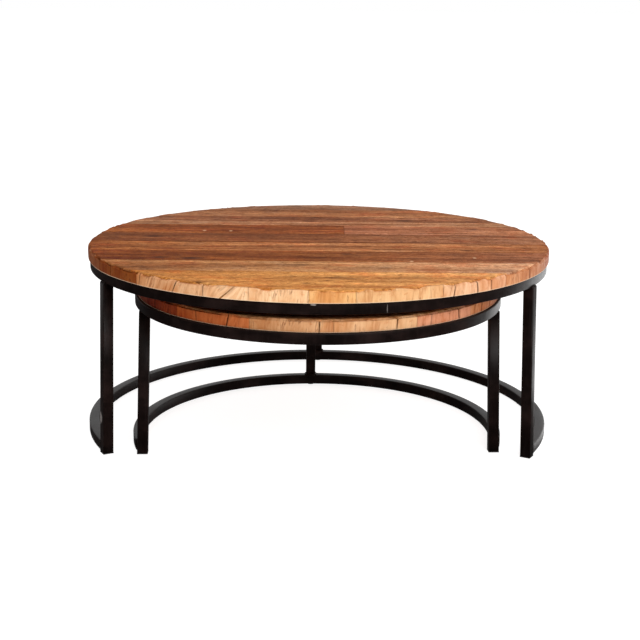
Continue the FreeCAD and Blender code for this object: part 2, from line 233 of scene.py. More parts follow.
def board_wood(name, tones, table, seed, half_length, rough, knots=(), flecks=()):
    """Weathered hardwood whose grain runs along the board, drifting from tone to tone.

    Knots are (x, y, size) and pale flecks (x, y), on the top they belong to.
    """
    wood = Shading(name)
    turn = -INNER_TURN if table == "inner" else 0
    local = wood.add("ShaderNodeTexCoord").outputs["Object"]
    own = wood.place(local, (1, 1, 1), (0, 0, 0), turn)
    shift = (seed * 3.17, seed * 1.73, seed * 0.91)
    sway = wood.noise(wood.place(own, (2.5, 5, 5), shift), 2)
    fibre = wood.noise(wood.place(own, (26, 520, 240), shift), 5, 0.72)
    dash = wood.noise(wood.place(own, (26, 98, 70), shift), 5, 0.70, twist=0.6)
    streak = wood.noise(wood.place(own, (5.0, 66, 50), shift), 5, 0.66, twist=0.7)
    broad = wood.noise(wood.place(own, (1.5, 17, 20), shift), 3, 0.5, twist=0.7)
    patch = wood.noise(wood.place(own, (15, 24, 20), shift), 5, 0.65)
    blot = wood.noise(wood.place(own, (60, 48, 40), shift), 4, 0.7, twist=0.8)
    grit = wood.noise(wood.place(own, (120, 170, 120), shift), 4, 0.8, twist=0.4)
    pores = wood.noise(wood.place(own, (70, 1300, 500), shift), 2, 0.5)
    check = wood.crack(wood.noise(wood.place(own, (2.1, 30, 20), shift), 4, 0.6, twist=0.8), 0.012)
    check = wood.sum("MULTIPLY", check, wood.spread(patch, 0.46, 0.58))
    apart = wood.add("ShaderNodeSeparateXYZ", Vector=own)
    along = wood.sum("MULTIPLY_ADD", sway, 0.16, apart.outputs["X"])
    drift = wood.spread(along, -half_length + 0.08, half_length + 0.08)
    stops = [(i / (len(tones) - 1), linear(*tone)) for i, tone in enumerate(tones)]
    colour = wood.ramp(drift, stops)
    colour = wood.stain(colour, broad, 0.52, 0.36, 0.75, (0.58, 0.46, 0.38, 1))
    colour = wood.stain(colour, broad, 0.50, 0.64, 0.75, (1.36, 1.44, 1.52, 1))
    lively = wood.spread(wood.noise(wood.place(own, (5, 9, 9), shift), 2), 0.38, 0.60, 0.45, 1)
    colour = wood.stain(colour, streak, 0.51, 0.40, 0.85 * rough, (0.48, 0.36, 0.28, 1))
    colour = wood.stain(colour, streak, 0.51, 0.62, 0.60 * rough, (1.45, 1.55, 1.65, 1))
    dark_dash = wood.sum("MULTIPLY", lively, wood.spread(dash, 0.49, 0.38, 0, 0.8 * rough))
    colour = wood.tint(dark_dash, colour, (0.42, 0.30, 0.24, 1), "MULTIPLY")
    pale_dash = wood.sum("MULTIPLY", lively, wood.spread(dash, 0.53, 0.63, 0, 0.6 * rough))
    colour = wood.tint(pale_dash, colour, (1.55, 1.70, 1.85, 1), "MULTIPLY")
    colour = wood.stain(colour, patch, 0.53, 0.66, 0.60, (0.80, 0.95, 1.30, 1))
    colour = wood.stain(colour, patch, 0.47, 0.34, 0.65, (0.96, 0.60, 0.44, 1))
    colour = wood.stain(colour, blot, 0.56, 0.66, 0.55, (0.50, 0.40, 0.34, 1))
    colour = wood.stain(colour, blot, 0.44, 0.34, 0.50, (1.30, 1.38, 1.46, 1))
    colour = wood.stain(colour, grit, 0.53, 0.64, 0.75, (0.46, 0.36, 0.31, 1))
    colour = wood.stain(colour, grit, 0.46, 0.36, 0.70, (1.45, 1.60, 1.75, 1))
    colour = wood.stain(colour, fibre, 0.52, 0.38, 0.65, (0.42, 0.33, 0.28, 1))
    colour = wood.stain(colour, fibre, 0.54, 0.66, 0.50, (1.40, 1.50, 1.60, 1))
    colour = wood.stain(colour, pores, 0.60, 0.70, 0.5, (0.25, 0.16, 0.12, 1))
    colour = wood.tint(wood.sum("MULTIPLY", check, 0.8), colour, (0.16, 0.09, 0.07, 1), "MULTIPLY")
    dents = wood.sum("MAXIMUM", wood.spread(pores, 0.60, 0.72), check)
    for x, y, size in knots:
        gap = wood.away_from(own, (x, y, 0), (0.55, 1.25, 0))
        wobble = wood.sum("MULTIPLY_ADD", patch, size * 0.9, gap)
        eye = wood.spread(wobble, size * 0.62, size * 1.45, 0.88, 0)
        colour = wood.tint(eye, colour, linear(52, 27, 18))
        dents = wood.sum("MAXIMUM", dents, eye)
    for x, y in flecks:
        gap = wood.away_from(own, (x, y, 0), (2.4, 1.5, 0))
        ragged = wood.sum("MULTIPLY_ADD", patch, 0.006, gap)
        spot = wood.spread(ragged, 0.007, 0.0135, 0.72, 0)
        colour = wood.tint(spot, colour, linear(214, 172, 132))
    surface = wood.surface.inputs
    wood.wire(colour, surface["Base Color"])
    dull = wood.sum("MULTIPLY_ADD", fibre, -0.24, 0.66)
    wood.wire(wood.sum("MULTIPLY_ADD", patch, 0.18, dull), surface["Roughness"])
    surface["Specular IOR Level"].default_value = 0.015
    relief = wood.sum("MULTIPLY_ADD", streak, 0.7, wood.sum("MULTIPLY", fibre, 0.5))
    relief = wood.sum("MULTIPLY_ADD", dash, 0.8, relief)
    relief = wood.sum("MULTIPLY_ADD", dents, -0.6, relief)
    wood.wire(wood.bump(relief, 0.55, 0.0009), surface["Normal"])
    return wood.material


# Tones of each board from left to right, as the wax has brought them out.
BOARD_TONES = {
    "outer": {
        "01": [(160, 114, 84), (178, 132, 100), (146, 102, 76)],
        "02": [(164, 112, 78), (186, 122, 76), (200, 138, 92)],
        "03": [(168, 110, 74), (154, 94, 58), (148, 96, 64)],
        "04": [(180, 128, 90), (182, 122, 82), (186, 132, 92)],
        "05_left": [(154, 84, 38), (160, 88, 42), (156, 86, 42)],
        "05_right": [(162, 94, 58), (166, 100, 66), (180, 118, 80)],
        "06": [(126, 70, 36), (138, 80, 44), (164, 108, 74)],
        "07": [(168, 98, 48), (186, 122, 74), (172, 106, 62)],
        "08": [(134, 68, 26), (146, 82, 38), (144, 88, 58)],
        "09": [(174, 110, 62), (194, 138, 88), (192, 138, 102)],
        "10": [(190, 118, 54), (206, 140, 74), (208, 148, 92)],
    },
    "inner": {
        "01": [(150, 92, 56), (158, 100, 62), (140, 86, 52)],
        "02": [(172, 118, 76), (178, 124, 80), (170, 112, 70)],
        "03": [(134, 80, 48), (142, 88, 56), (130, 76, 44)],
        "04_left": [(166, 102, 56), (172, 108, 60), (160, 96, 52)],
        "04_right": [(150, 88, 50), (158, 94, 54), (164, 102, 62)],
        "05": [(126, 70, 38), (132, 76, 44), (140, 84, 50)],
        "06": [(190, 120, 62), (196, 126, 68), (188, 118, 64)],
        "07": [(146, 82, 46), (152, 88, 50), (160, 98, 60)],
        "08": [(178, 122, 78), (186, 130, 84), (180, 124, 80)],
    },
}
# Dark knots, boards whose grain is quieter than the others', and pale flecks.
KNOTS = {
    ("outer", "08"): [(-0.234, -0.190, 0.020), (-0.290, -0.184, 0.013), (0.052, -0.140, 0.010)],
    ("outer", "07"): [(0.110, -0.090, 0.008), (0.188, -0.092, 0.008), (0.283, -0.094, 0.008)],
    ("outer", "06"): [(-0.33, 0.028, 0.016)],
    ("outer", "03"): [(-0.02, 0.222, 0.014), (0.185, 0.236, 0.016)],
    ("outer", "10"): [(-0.020, -0.395, 0.007)],
    ("inner", "05"): [(0.12, -0.11, 0.015)],
    ("inner", "02"): [(-0.16, 0.12, 0.011)],
}
SMOOTHER = {("outer", "10"): 0.45, ("outer", "09"): 0.8, ("outer", "04"): 0.8}
FLECKS = {
    ("outer", "05_left"): [(-0.234, 0.098), (-0.180, 0.096)],
    ("outer", "08"): [(0.289, -0.165), (0.170, -0.202)],
}
chance = random.Random(11)

# The top corner of each table is worn and chipped all the way round. The deepest bites are
# given by their angles in degrees, from the front and towards the right.
WEAR_SEED = 3.7
DEEPEST_WEAR = 0.0048
EDGE_RADIUS = {"outer": 0.45, "inner": 0.344}
EDGE_START = {"outer": -63, "inner": -66}
BITTEN = {
    "outer": (-58, -49, -42, -37, -29, -24, -11, 6, 21, 31, 36, 43, 49, 58, 66, 96, 121, 139, 163,
              172, 184, 195, 204, 213, 221, 234, 246, 262, 281),
    "inner": (-52, -41, -33, -20, -8, 7, 18, 29, 41, 50, 58, 100, 150, 190, 240),
}


def chips(table):
    """Where the corner is bitten away: place along the edge, half width and depth."""
    radius = EDGE_RADIUS[table]
    start = math.radians(EDGE_START[table]) * radius
    small = [
        (
            start + chance.uniform(0, 2 * math.pi * radius),
            chance.uniform(0.004, 0.014),
            chance.uniform(0.0006, 0.0026),
        )
        for _ in range(110)
    ]
    large = [
        (
            math.radians(angle) * radius,
            chance.uniform(0.009, 0.017),
            chance.uniform(0.0020, 0.0034),
        )
        for angle in BITTEN[table]
    ]
    return small + large


def worn_depth(where, bites):
    """How far the top corner is worn back at a place along the edge, in metres."""
    ripple = noise.noise((where * 22, WEAR_SEED, 0)) * 0.5 + 0.5
    fray = max(0.0, noise.noise((where * 95, WEAR_SEED, 4)))
    crumbling = max(0.0, noise.noise((where * 5, WEAR_SEED, 9)) + 0.15)
    depth = 0.0002 + 0.0026 * ripple**2 + 0.0045 * fray * (0.5 + 2 * crumbling)
    for centre, width, deep in bites:
        depth += deep * math.exp(-(((where - centre) / width) ** 2))
    return min(depth, DEEPEST_WEAR)


def broken_away(worn):
    """How much of the boards' own corner has gone with the edging, 0 to 1."""
    return min(0.95, max(0.02, (worn - 0.0010) / 0.0034))


def along_edge(table, point, radius):
    """The distance round the edge to a point, from the first strip on."""
    start = math.radians(EDGE_START[table])
    angle = (math.atan2(point.x, -point.y) - start + HAIR) % (2 * math.pi) + start
    return angle * radius


bites = {table: chips(table) for table in EDGE_START}


def saw_board(table, key, tones):
    """A straight board cut to the round of the top, with its long edges eased."""
    node = f"{table}_board_{key}"
    low, high = own_box(table, node)
    radius = reach(table, node)
    bm = bmesh.new()
    bmesh.ops.create_circle(
        bm, cap_ends=True, radius=radius, segments=240, matrix=Matrix.Translation((0, 0, high.z))
    )
    cuts = [
        (Vector((0, low.y + GLUE_GAP, 0)), (0, -1, 0)),
        (Vector((0, high.y - GLUE_GAP, 0)), (0, 1, 0)),
    ]
    if key.endswith("left"):
        cuts.append((Vector((high.x - GLUE_GAP, 0, 0)), (1, 0, 0)))
    if key.endswith("right"):
        cuts.append((Vector((low.x + GLUE_GAP, 0, 0)), (-1, 0, 0)))
    for edge, way in cuts:
        if edge.length < radius - 0.006:
            bmesh.ops.bisect_plane(
                bm, geom=bm.verts[:] + bm.edges[:] + bm.faces[:], plane_co=edge,
                plane_no=way, clear_outer=True,
            )
    reach_x = max(abs(v.co.x) for v in bm.verts) - 0.02
    for step in range(math.ceil(-reach_x / BOARD_STEP), math.floor(reach_x / BOARD_STEP) + 1):
        bmesh.ops.bisect_plane(
            bm, geom=bm.verts[:] + bm.edges[:] + bm.faces[:],
            plane_co=(step * BOARD_STEP + 0.003, 0, 0), plane_no=(1, 0, 0),
        )
    underside = bmesh.ops.extrude_face_region(bm, geom=bm.faces[:])["geom"]
    lower = [part for part in underside if isinstance(part, bmesh.types.BMVert)]
    bmesh.ops.translate(bm, verts=lower, vec=(0, 0, low.z - high.z))
    rim = radius - 0.0005
    edge_radius = reach(table, f"{table}_edging_strips")
    long_edges = [
        edge
        for edge in bm.edges
        if abs(edge.verts[0].co.z - edge.verts[1].co.z) < HAIR
        and edge.calc_face_angle(0) > 1
        and ((edge.verts[0].co + edge.verts[1].co) / 2).xy.length < rim
    ]
    bmesh.ops.bevel(
        bm, geom=long_edges, offset=EASED_EDGE, segments=2, profile=0.5, affect="EDGES",
        material=-1,
    )
    rim_edges = [
        edge
        for edge in bm.edges
        if all(v.co.z > high.z - HAIR for v in edge.verts)
        and ((edge.verts[0].co + edge.verts[1].co) / 2).xy.length > rim
    ]
    bmesh.ops.bevel(
        bm, geom=rim_edges, offset=RIM_CHIP, segments=3, profile=0.5, affect="EDGES", material=-1
    )
    for vert in bm.verts:
        if vert.co.z > high.z - RIM_CHIP - 0.0002 and vert.co.xy.length > rim - RIM_CHIP:
            where = along_edge(table, vert.co, edge_radius)
            worn = worn_depth(where, bites[table])
            vert.co.z = high.z - (high.z - vert.co.z) * broken_away(worn)
    settled = chance.uniform(0, 0.0004)
    upper = [v for v in bm.verts if v.co.z > high.z - 0.001]
    bmesh.ops.translate(bm, verts=upper, vec=(0, 0, -settled))
    name = f"{table}_top_board_{key}"
    material = board_wood(
        name, tones, table, len(bpy.data.materials) + 1, radius,
        chance.uniform(0.5, 0.85) * SMOOTHER.get((table, key), 1),
        KNOTS.get((table, key), ()), FLECKS.get((table, key), ()),
    )
    slots = {s["node"]: s["material_slot"] for s in frame["record"]["subparts"]}
    return keep(bm, name, table, material, slots[node], node)


for table, boards in BOARD_TONES.items():
    for key, tones in boards.items():
        saw_board(table, key, tones)

# ---------------------------------------------------------------- tops: the edging
# The tones also hold painted light and shade, as the light falls from the front right: the
# strips are darkest, with the larger top's painted shadow on them.
# strips darken towards the left and are palest at the front, and the smaller table's left
# Strips a few millimetres thick with upright grain, glued round the sawn edge one after another.
# They are old wood too: tones differ, some joints have opened, and the top corner is chipped.
# Each strip: its arc in degrees, its tones at start and end, and the splits that have opened,
# each as its place in degrees, how far it slants over the strip's height, and its width.
EDGING = {
    "outer": [
        (18, (134, 66, 22), (140, 72, 24), [(7, 0.001, 0.8)]),
        (30, (200, 134, 84), (248, 202, 156), [
            (1.2, 0.004, 1.2), (12, 0.012, 1.6), (19.4, 0, 0.9), (25.2, 0.026, 1.9),
        ]),
        (13, (242, 196, 150), (230, 180, 132), []),
        (10, (226, 168, 108), (226, 170, 110), []),
        (20, (226, 178, 126), (224, 172, 122), []),
        (19, (222, 172, 130), (222, 166, 128), [
            (3, 0.001, 1), (9.4, -0.003, 1.9), (13.8, 0.001, 1.5),
        ]),
        (23, (212, 148, 102), (186, 130, 100), [(11, 0, 1.8)]),
        (22, (176, 112, 84), (168, 110, 82), []),
        (27, (160, 100, 64), (172, 108, 70), [(14, 0.004, 1)]),
        (21, (190, 130, 84), (196, 138, 90), []),
        (25, (142, 84, 54), (132, 78, 50), [(6, 0, 1), (18, 0.008, 1.4)]),
        (24, (206, 150, 102), (212, 156, 110), []),
        (28, (168, 104, 62), (150, 92, 56), [(10, -0.002, 1.3)]),
        (22, (206, 156, 108), (196, 140, 94), []),
        (26, (150, 90, 58), (138, 82, 54), [(8, 0, 1), (19, -0.003, 1.2)]),
        (32, (146, 88, 56), (132, 72, 36), [(15, 0.002, 1)]),
    ],
    "inner": [
        (18, (92, 22, 8), (134, 52, 16), [(6, 0, 1)]),
        (26, (160, 74, 28), (184, 104, 58), [(8, 0, 0.9), (19.2, 0.004, 1.6)]),
        (24, (188, 130, 84), (214, 160, 114), [(20, 0, 1.5)]),
        (25, (217, 165, 119), (222, 172, 126), [(18.5, 0, 1.5)]),
        (22, (214, 144, 106), (214, 142, 106), [(5, 0.002, 0.8), (16.1, -0.002, 1.6)]),
        (27, (208, 140, 94), (188, 110, 72), [(2.5, 0, 1), (6.8, 0, 1.7), (13, 0.001, 1.3)]),
        (25, (196, 130, 100), (186, 120, 90), []),
        (30, (164, 104, 68), (158, 98, 62), [(12, 0.003, 1)]),
        (26, (200, 146, 98), (206, 152, 104), []),
        (31, (138, 80, 52), (150, 90, 60), [(9, 0, 1.2), (22, 0, 1)]),
        (27, (208, 156, 110), (200, 146, 100), []),
        (25, (172, 106, 64), (160, 98, 60), []),
        (29, (190, 134, 90), (180, 124, 82), [(13, -0.002, 1.3)]),
        (25, (140, 76, 50), (106, 44, 28), []),
    ],
}
# The spacing of the sections along a strip, how near to a corner a point wears away with it,
# the most that a strip's face can stand back, and the height of a strip.
STATION = 0.0024
CORNER_BAND = 0.0015
MOST_BACK = 0.0037
STRIP_HEIGHT = 0.023


def edging_wood(name):
    """Old wood with its grain standing upright and a tone of its own on each strip, painted light
    and shade included.
    """
    wood = Shading(name)
    face = wood.add("ShaderNodeUVMap", {"uv_map": "round_the_edge"}).outputs["UV"]
    # The strip tone holds the wood's own tone together with painted light and shade.
    tone = wood.add("ShaderNodeVertexColor", {"layer_name": "strip_tone_with_painted_light"}).outputs["Color"]
    tilted = wood.place(face, (1, 1, 1), (0, 0, 0), 0.06)
    fine = wood.noise(wood.place(tilted, (420, 40, 1)), 5, 0.7)
    streak = wood.noise(wood.place(tilted, (120, 16, 1)), 4, 0.62, twist=0.6)
    broad = wood.noise(wood.place(tilted, (30, 14, 1)), 3, 0.55, twist=0.5)
    blot = wood.noise(wood.place(face, (85, 110, 1)), 5, 0.65)
    lines = wood.noise(wood.place(tilted, (52, 7, 1), (3, 1, 0)), 3, 0.6, twist=0.5)
    check = wood.sum("MULTIPLY", wood.crack(lines, 0.014), wood.spread(broad, 0.50, 0.58))
    colour = wood.stain(tone, broad, 0.51, 0.38, 0.75, (0.82, 0.62, 0.46, 1))
    colour = wood.stain(colour, broad, 0.51, 0.64, 0.60, (1.12, 1.20, 1.30, 1))
    colour = wood.stain(colour, streak, 0.50, 0.37, 0.60, (0.70, 0.50, 0.36, 1))
    colour = wood.stain(colour, streak, 0.54, 0.66, 0.36, (1.18, 1.28, 1.40, 1))
    colour = wood.stain(colour, fine, 0.52, 0.38, 0.26, (0.66, 0.50, 0.40, 1))
    colour = wood.stain(colour, blot, 0.58, 0.70, 0.60, (0.80, 0.50, 0.32, 1))
    colour = wood.stain(colour, blot, 0.42, 0.32, 0.35, (1.10, 1.22, 1.35, 1))
    colour = wood.tint(wood.sum("MULTIPLY", check, 0.6), colour, (0.30, 0.14, 0.08, 1), "MULTIPLY")
    height = wood.add("ShaderNodeSeparateXYZ", Vector=face).outputs["Y"]
    # Paler along the bottom arris: a painted highlight where the arris catches the light, on wood
    # rubbed there too.
    bottom_highlight_line = wood.sum("MULTIPLY_ADD", broad, 0.0010, height)
    rub_and_highlight = wood.spread(bottom_highlight_line, 0.0022, 0.0013, 0, 0.6)
    colour = wood.tint(rub_and_highlight, colour, linear(240, 214, 184))
    chipped = wood.sum("MULTIPLY_ADD", blot, 0.004, height)
    colour = wood.stain(colour, chipped, 0.0238, 0.0252, 0.5, (1.14, 1.18, 1.22, 1))
    bare = wood.add("ShaderNodeAttribute", {"attribute_name": "chipped"}).outputs["Fac"]
    top_face = wood.sum("SUBTRACT", wood.spread(chipped, 0.0246, 0.0262, 0, 0.85), bare)
    top_face = wood.sum("MAXIMUM", top_face, 0)
    colour = wood.tint(top_face, colour, linear(160, 104, 66))
    surface = wood.surface.inputs
    wood.wire(colour, surface["Base Color"])
    wood.wire(wood.sum("MULTIPLY_ADD", fine, -0.2, 0.76), surface["Roughness"])
    surface["Specular IOR Level"].default_value = 0.05
    relief = wood.sum("MULTIPLY_ADD", streak, 0.8, wood.sum("MULTIPLY", fine, 0.6))
    relief = wood.sum("MULTIPLY_ADD", check, -0.8, relief)
    wood.wire(wood.bump(relief, 0.7, 0.0012), surface["Normal"])
    return wood.material


def stand_back(height, gap, seed):
    """How far a strip's end stands back from its joint, wandering up the edge."""
    wander = 0.0006 * noise.noise((height * 240, seed, 7))
    return max(0.00006, gap[0] + (gap[1] - gap[0]) * height / STRIP_HEIGHT + wander)


# Joint between two strips, as its width at the bottom and top, its slant and its darkness.
TIGHT_JOINT = (0.0002, 0.0003, 0, 0.85)


def open_split(slant, width):
    """A split that has opened in a strip, wider at one end than at the other."""
    wide, narrow = chance.uniform(0.0006, 0.0011), chance.uniform(0.0001, 0.0005)
    slant += chance.uniform(-0.0020, 0.0020)
    dark = 0.8 - 0.15 * width
    if chance.random() < 0.3:
        wide, narrow = narrow, wide
    return (narrow * width, wide * width, slant, dark)


def glue_edging(table):
    """All the strips of one top, each a separate closed shell."""
    node = f"{table}_edging_strips"
    low, high = own_box(table, node)
    tall = high.z - low.z
    outside = reach(table, node)
    inside = reach(table, f"{table}_board_06") + 0.0001
    bm = bmesh.new()
    tones = bm.verts.layers.float_color.new("strip_tone_with_painted_light")
    chipped = bm.verts.layers.float.new("chipped")
    face_place = bm.loops.layers.uv.new("round_the_edge")
    begin = EDGE_START[table]
    gap = TIGHT_JOINT
    for arc, tone, end_tone_with_painted_light, splits in EDGING[table]:
        shade = chance.uniform(0.94, 1.04)
        tilt = chance.uniform(-0.03, 0.03)
        marks = [(0, 0, 0), *splits, (arc, 0, 0)]
        for (first, *_), (last, slant, width) in zip(marks, marks[1:]):
            next_gap = open_split(slant, width) if width else TIGHT_JOINT
            angle = math.radians(begin + first)
            span = math.radians(last - first)
            before = set(bm.verts)
            across = Vector((math.sin(angle), -math.cos(angle), 0))
            outline = [(inside, low.z), (inside, high.z)]
            outline += [(outside, high.z - tall * i / 5) for i in range(6)]
            points = [bm.verts.new(across * radius + Vector((0, 0, z))) for radius, z in outline]
            bm.faces.new(points)
            bmesh.ops.bevel(
                bm, geom=[points[2], points[7]], offset=0.0010, segments=2, profile=0.5,
                affect="VERTICES", material=-1,
            )
            section = [v for v in bm.verts if v not in before]
            parts = section + list({e for v in section for e in v.link_edges})
            parts += list({f for v in section for f in v.link_faces})
            steps = max(2, round(span * outside / STATION))
            bmesh.ops.spin(
                bm, geom=parts, cent=(0, 0, 0), axis=(0, 0, 1), dvec=(0, 0, 0), angle=span,
                steps=steps, use_merge=False, use_normal_flip=False, use_duplicate=False,
            )
            proud = chance.uniform(0, 0.0005)
            strip = [v for v in bm.verts if v not in before]
            where = {}
            for vert in strip:
                turned = (math.atan2(vert.co.x, -vert.co.y) - angle) % (2 * math.pi)
                if turned > 6:
                    turned -= 2 * math.pi
                where[vert] = (angle + turned) * outside
                radial = vert.co.xy.length
                worn = worn_depth(where[vert], bites[table])
                at_top = vert.co.z > high.z - CORNER_BAND
                on_face = radial > outside - CORNER_BAND
                if at_top:
                    vert[chipped] = min(1, worn / 0.0026) * (1 if on_face else 0.5)
                if at_top and not on_face:
                    vert.co.z -= RIM_CHIP * broken_away(worn)
                if on_face:
                    uneven = noise.noise((where[vert] * 14, tilt * 90, vert.co.z * 60))
                    back = proud + 0.0005 * (uneven + 1)
                    if at_top:
                        back += worn
                        vert.co.z -= worn
                    elif vert.co.z < low.z + CORNER_BAND:
                        back += 0.0004 * abs(noise.noise((where[vert] * 60, 1, 1)))
                    vert.co.xy *= (radial - min(back, MOST_BACK)) / radial
                height = vert.co.z - low.z
                done = turned / span
                dark = 1
                shift = (height / tall - 0.5) * (gap[2] * (1 - done) + next_gap[2] * done)
                if turned < HAIR:
                    shift += stand_back(height, gap, begin + first)
                    dark = gap[3]
                elif turned > span - HAIR:
                    shift -= stand_back(height, next_gap, begin + last + 0.5)
                    dark = next_gap[3]
                vert.co.xy += Vector((-vert.co.y, vert.co.x)).normalized() * shift
                # The tone, painted light and shade included, drifts from the strip's start to its
                # end.
                blend = (first + math.degrees(turned)) / arc
                lit = Vector(linear(*tone)[:3]).lerp(linear(*end_tone_with_painted_light)[:3], blend)
                vert[tones] = (*(shade * dark * c for c in lit), 1)
            for loop in {corner for v in strip for corner in v.link_loops}:
                height = loop.vert.co.z - low.z
                inward = outside - loop.vert.co.xy.length if height > tall - 0.005 else 0
                loop[face_place].uv = (where[loop.vert] + tilt * height, height + inward)
            gap = next_gap
        begin += arc
    name = f"{table}_top_edging"
    return keep(bm, name, table, edging_wood(name), "wood_edging", node)


for table in EDGING:
    glue_edging(table)

# ---------------------------------------------------------------- frames: rings and base arcs
# Mild-steel square tube, rolled to a circle, with rounded corners and a dark brown-black lacquer.
# The base is open at the front, where it is cut flat against the back faces of the front legs.
TUBE = own_box("outer", "outer_top_ring")[1].z - own_box("outer", "outer_top_ring")[0].z
CORNER = 0.0021

# Where the lacquer is scraped: a place, the scrape's half size along x, y and z, and its tone.
SCRAPES = {
    "outer_ring": [
        ((-0.008, -0.446, 0.3445), (0.0050, 0.02, 0.0014), (166, 158, 152)),
        ((0.1150, -0.431, 0.3355), (0.0009, 0.02, 0.0075), (112, 104, 100)),
    ],
    "outer_front_left_leg_tube": [
        ((-0.4075, -0.2160, 0.0700), (0.0060, 0.02, 0.0130), (150, 142, 138)),
    ],
}


def lacquered_steel(name, seed):
    """Dark satin lacquer over steel: cloudy, faintly pebbled, its corners rubbed and given a
    painted highlight.
    """
    steel = Shading(name)
    local = steel.add("ShaderNodeTexCoord").outputs["Object"]
    shift = (seed * 2.3, seed * 1.1, seed * 0.7)
    cloud = steel.noise(steel.place(local, (14, 14, 22), shift), 5, 0.6)
    brushed = steel.noise(steel.place(local, (190, 190, 26), shift), 4, 0.6)
    peel = steel.noise(steel.place(local, (900, 900, 900), shift), 2, 0.5)
    scuffs = steel.noise(steel.place(local, (70, 70, 120), shift), 6, 0.75)
    corner = steel.add("ShaderNodeAttribute", {"attribute_name": "rub_and_highlight"}).outputs["Fac"]
    colour = steel.ramp(
        cloud, [(0.32, linear(11, 5, 4)), (0.50, linear(20, 10, 8)), (0.74, linear(38, 23, 20))]
    )
    colour = steel.stain(colour, brushed, 0.5, 0.75, 0.3, linear(40, 29, 27), "MIX")
    # The rounded corners are painted lighter: rubbed lacquer, and partly a painted edge highlight.
    corner_rub_and_highlight = steel.sum("MULTIPLY", corner, steel.spread(scuffs, 0.50, 0.66, 0, 0.8))
    colour = steel.tint(corner_rub_and_highlight, colour, linear(58, 45, 41))
    colour = steel.stain(colour, scuffs, 0.74, 0.80, 0.5, linear(120, 108, 100), "MIX")
    for place, size, tone in SCRAPES.get(name, ()):
        gap = steel.away_from(local, place, [1 / half for half in size])
        ragged = steel.sum("MULTIPLY_ADD", scuffs, 1.6, gap)
        colour = steel.tint(steel.spread(ragged, 1.9, 1.5, 0, 0.8), colour, linear(*tone))
    surface = steel.surface.inputs
    steel.wire(colour, surface["Base Color"])
    dull = steel.sum("MULTIPLY_ADD", cloud, 0.26, 0.24)
    dull = steel.sum("MULTIPLY_ADD", brushed, 0.10, dull)
    steel.wire(dull, surface["Roughness"])
    surface["Specular IOR Level"].default_value = 0.13
    relief = steel.sum("MULTIPLY_ADD", peel, 0.25, steel.sum("MULTIPLY", brushed, 0.6))
    relief = steel.sum("MULTIPLY_ADD", cloud, 0.4, relief)
    steel.wire(steel.bump(relief, 0.35, 0.0005), surface["Normal"])
    return steel.material


def tube_section(bm, middle, way, upward):
    """The rounded square outline of the tube, as a face, its corners' points marked for rub and
    painted highlight.
    """
    rub_and_highlight = bm.verts.layers.float.new("rub_and_highlight")
    half = TUBE / 2
    corners = [
        bm.verts.new(middle + way * (half * a) + upward * (half * b))
        for a, b in ((-1, -1), (1, -1), (1, 1), (-1, 1))
    ]
    bm.faces.new(corners)
    sharp = [c.co.copy() for c in corners]
    bmesh.ops.bevel(
        bm, geom=corners, offset=CORNER, segments=4, profile=0.5, affect="VERTICES", material=-1
    )
    for vert in bm.verts:
        nearest = min((vert.co - c).length for c in sharp)
        if nearest < CORNER * 0.62:
            vert[rub_and_highlight] = 1.0
    return bm.faces[:]


def roll_ring(table):
    """The ring under the top, rolled full circle, with its one butt weld ground flush."""
    node = f"{table}_top_ring"
    low, high = own_box(table, node)
    middle = Vector((reach(table, node) - TUBE / 2, 0, (low.z + high.z) / 2))
    bm = bmesh.new()
    tube_section(bm, middle, Vector((1, 0, 0)), Vector((0, 0, 1)))
    bmesh.ops.delete(bm, geom=bm.faces[:], context="FACES_ONLY")
    bmesh.ops.spin(
        bm, geom=bm.verts[:] + bm.edges[:], cent=(0, 0, 0), axis=(0, 0, 1), dvec=(0, 0, 0),
        angle=2 * math.pi, steps=216, use_merge=True, use_normal_flip=False, use_duplicate=False,
    )
    name = f"{table}_ring"
    steel = lacquered_steel(name, len(bpy.data.materials))
    return keep(bm, name, table, steel, "black_lacquer", node, smooth=True)


def level_middle(table, node, height):
    """The middle of a leg or cap at one height, in its table's frame."""
    near = [p for p in own_points(table, node) if abs(p.z - height) < 0.0008]
    across = [(min(p[i] for p in near) + max(p[i] for p in near)) / 2 for i in range(2)]
    return Vector((*across, height))


def leg_line(table, node):
    """A leg's middle at foot and head, the way it leans out, and the way to its back face."""
    low, high = own_box(table, node)
    foot = level_middle(table, node, low.z)
    head = level_middle(table, node, high.z)
    outward = (foot - head).xy.normalized().to_3d()
    backward = Vector((-outward.y, outward.x, 0))
    if backward.y < 0:
        backward.negate()
    return foot, head, outward, backward


